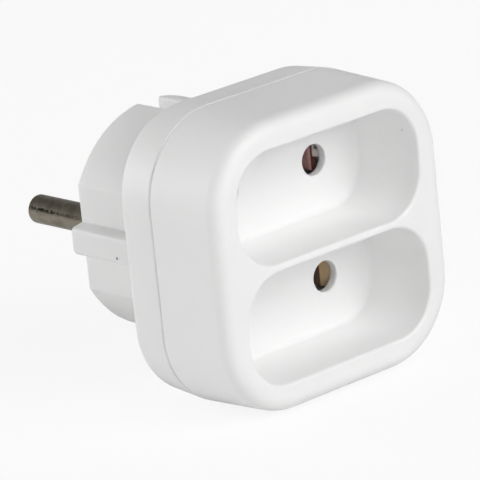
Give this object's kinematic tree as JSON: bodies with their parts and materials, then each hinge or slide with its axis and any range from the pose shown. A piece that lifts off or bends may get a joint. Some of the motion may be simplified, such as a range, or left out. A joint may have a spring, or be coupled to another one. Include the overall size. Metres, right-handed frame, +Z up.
{
  "type": "multi socket adapter",
  "caption": "Two-way wall adapter: a round unearthed plug body with solid pins carries a rounded square housing with two recessed sockets, one above the other.",
  "frame": {"origin": "centre of the plug's end face, midway between the pins", "axes": "+Y out along the pins, +Z up, the front face with the sockets looks to -Y"},
  "size_m": [0.05, 0.0605, 0.0482],
  "materials": {
    "white_plastic": "satin white moulding",
    "nickel_plated_brass": "turned and nickel plated, slightly dulled",
    "brass": "stamped",
    "spring_brass": "stamped, rolled",
    "copper_alloy": "stamped, rolled",
    "zinc_plated_steel": "zinc plated"
  },
  "bodies": {
    "root": {"front_cover": "white_plastic", "rear_cover": "white_plastic", "left_pin": "nickel_plated_brass", "right_pin": "nickel_plated_brass", "left_strip": "brass", "right_strip": "brass", "upper_left_clip": "copper_alloy", "upper_right_clip": "copper_alloy", "lower_left_clip": "spring_brass", "lower_right_clip": "spring_brass", "clip_rivets": "brass", "cover_screw": "zinc_plated_steel"}
  },
  "joints": []
}
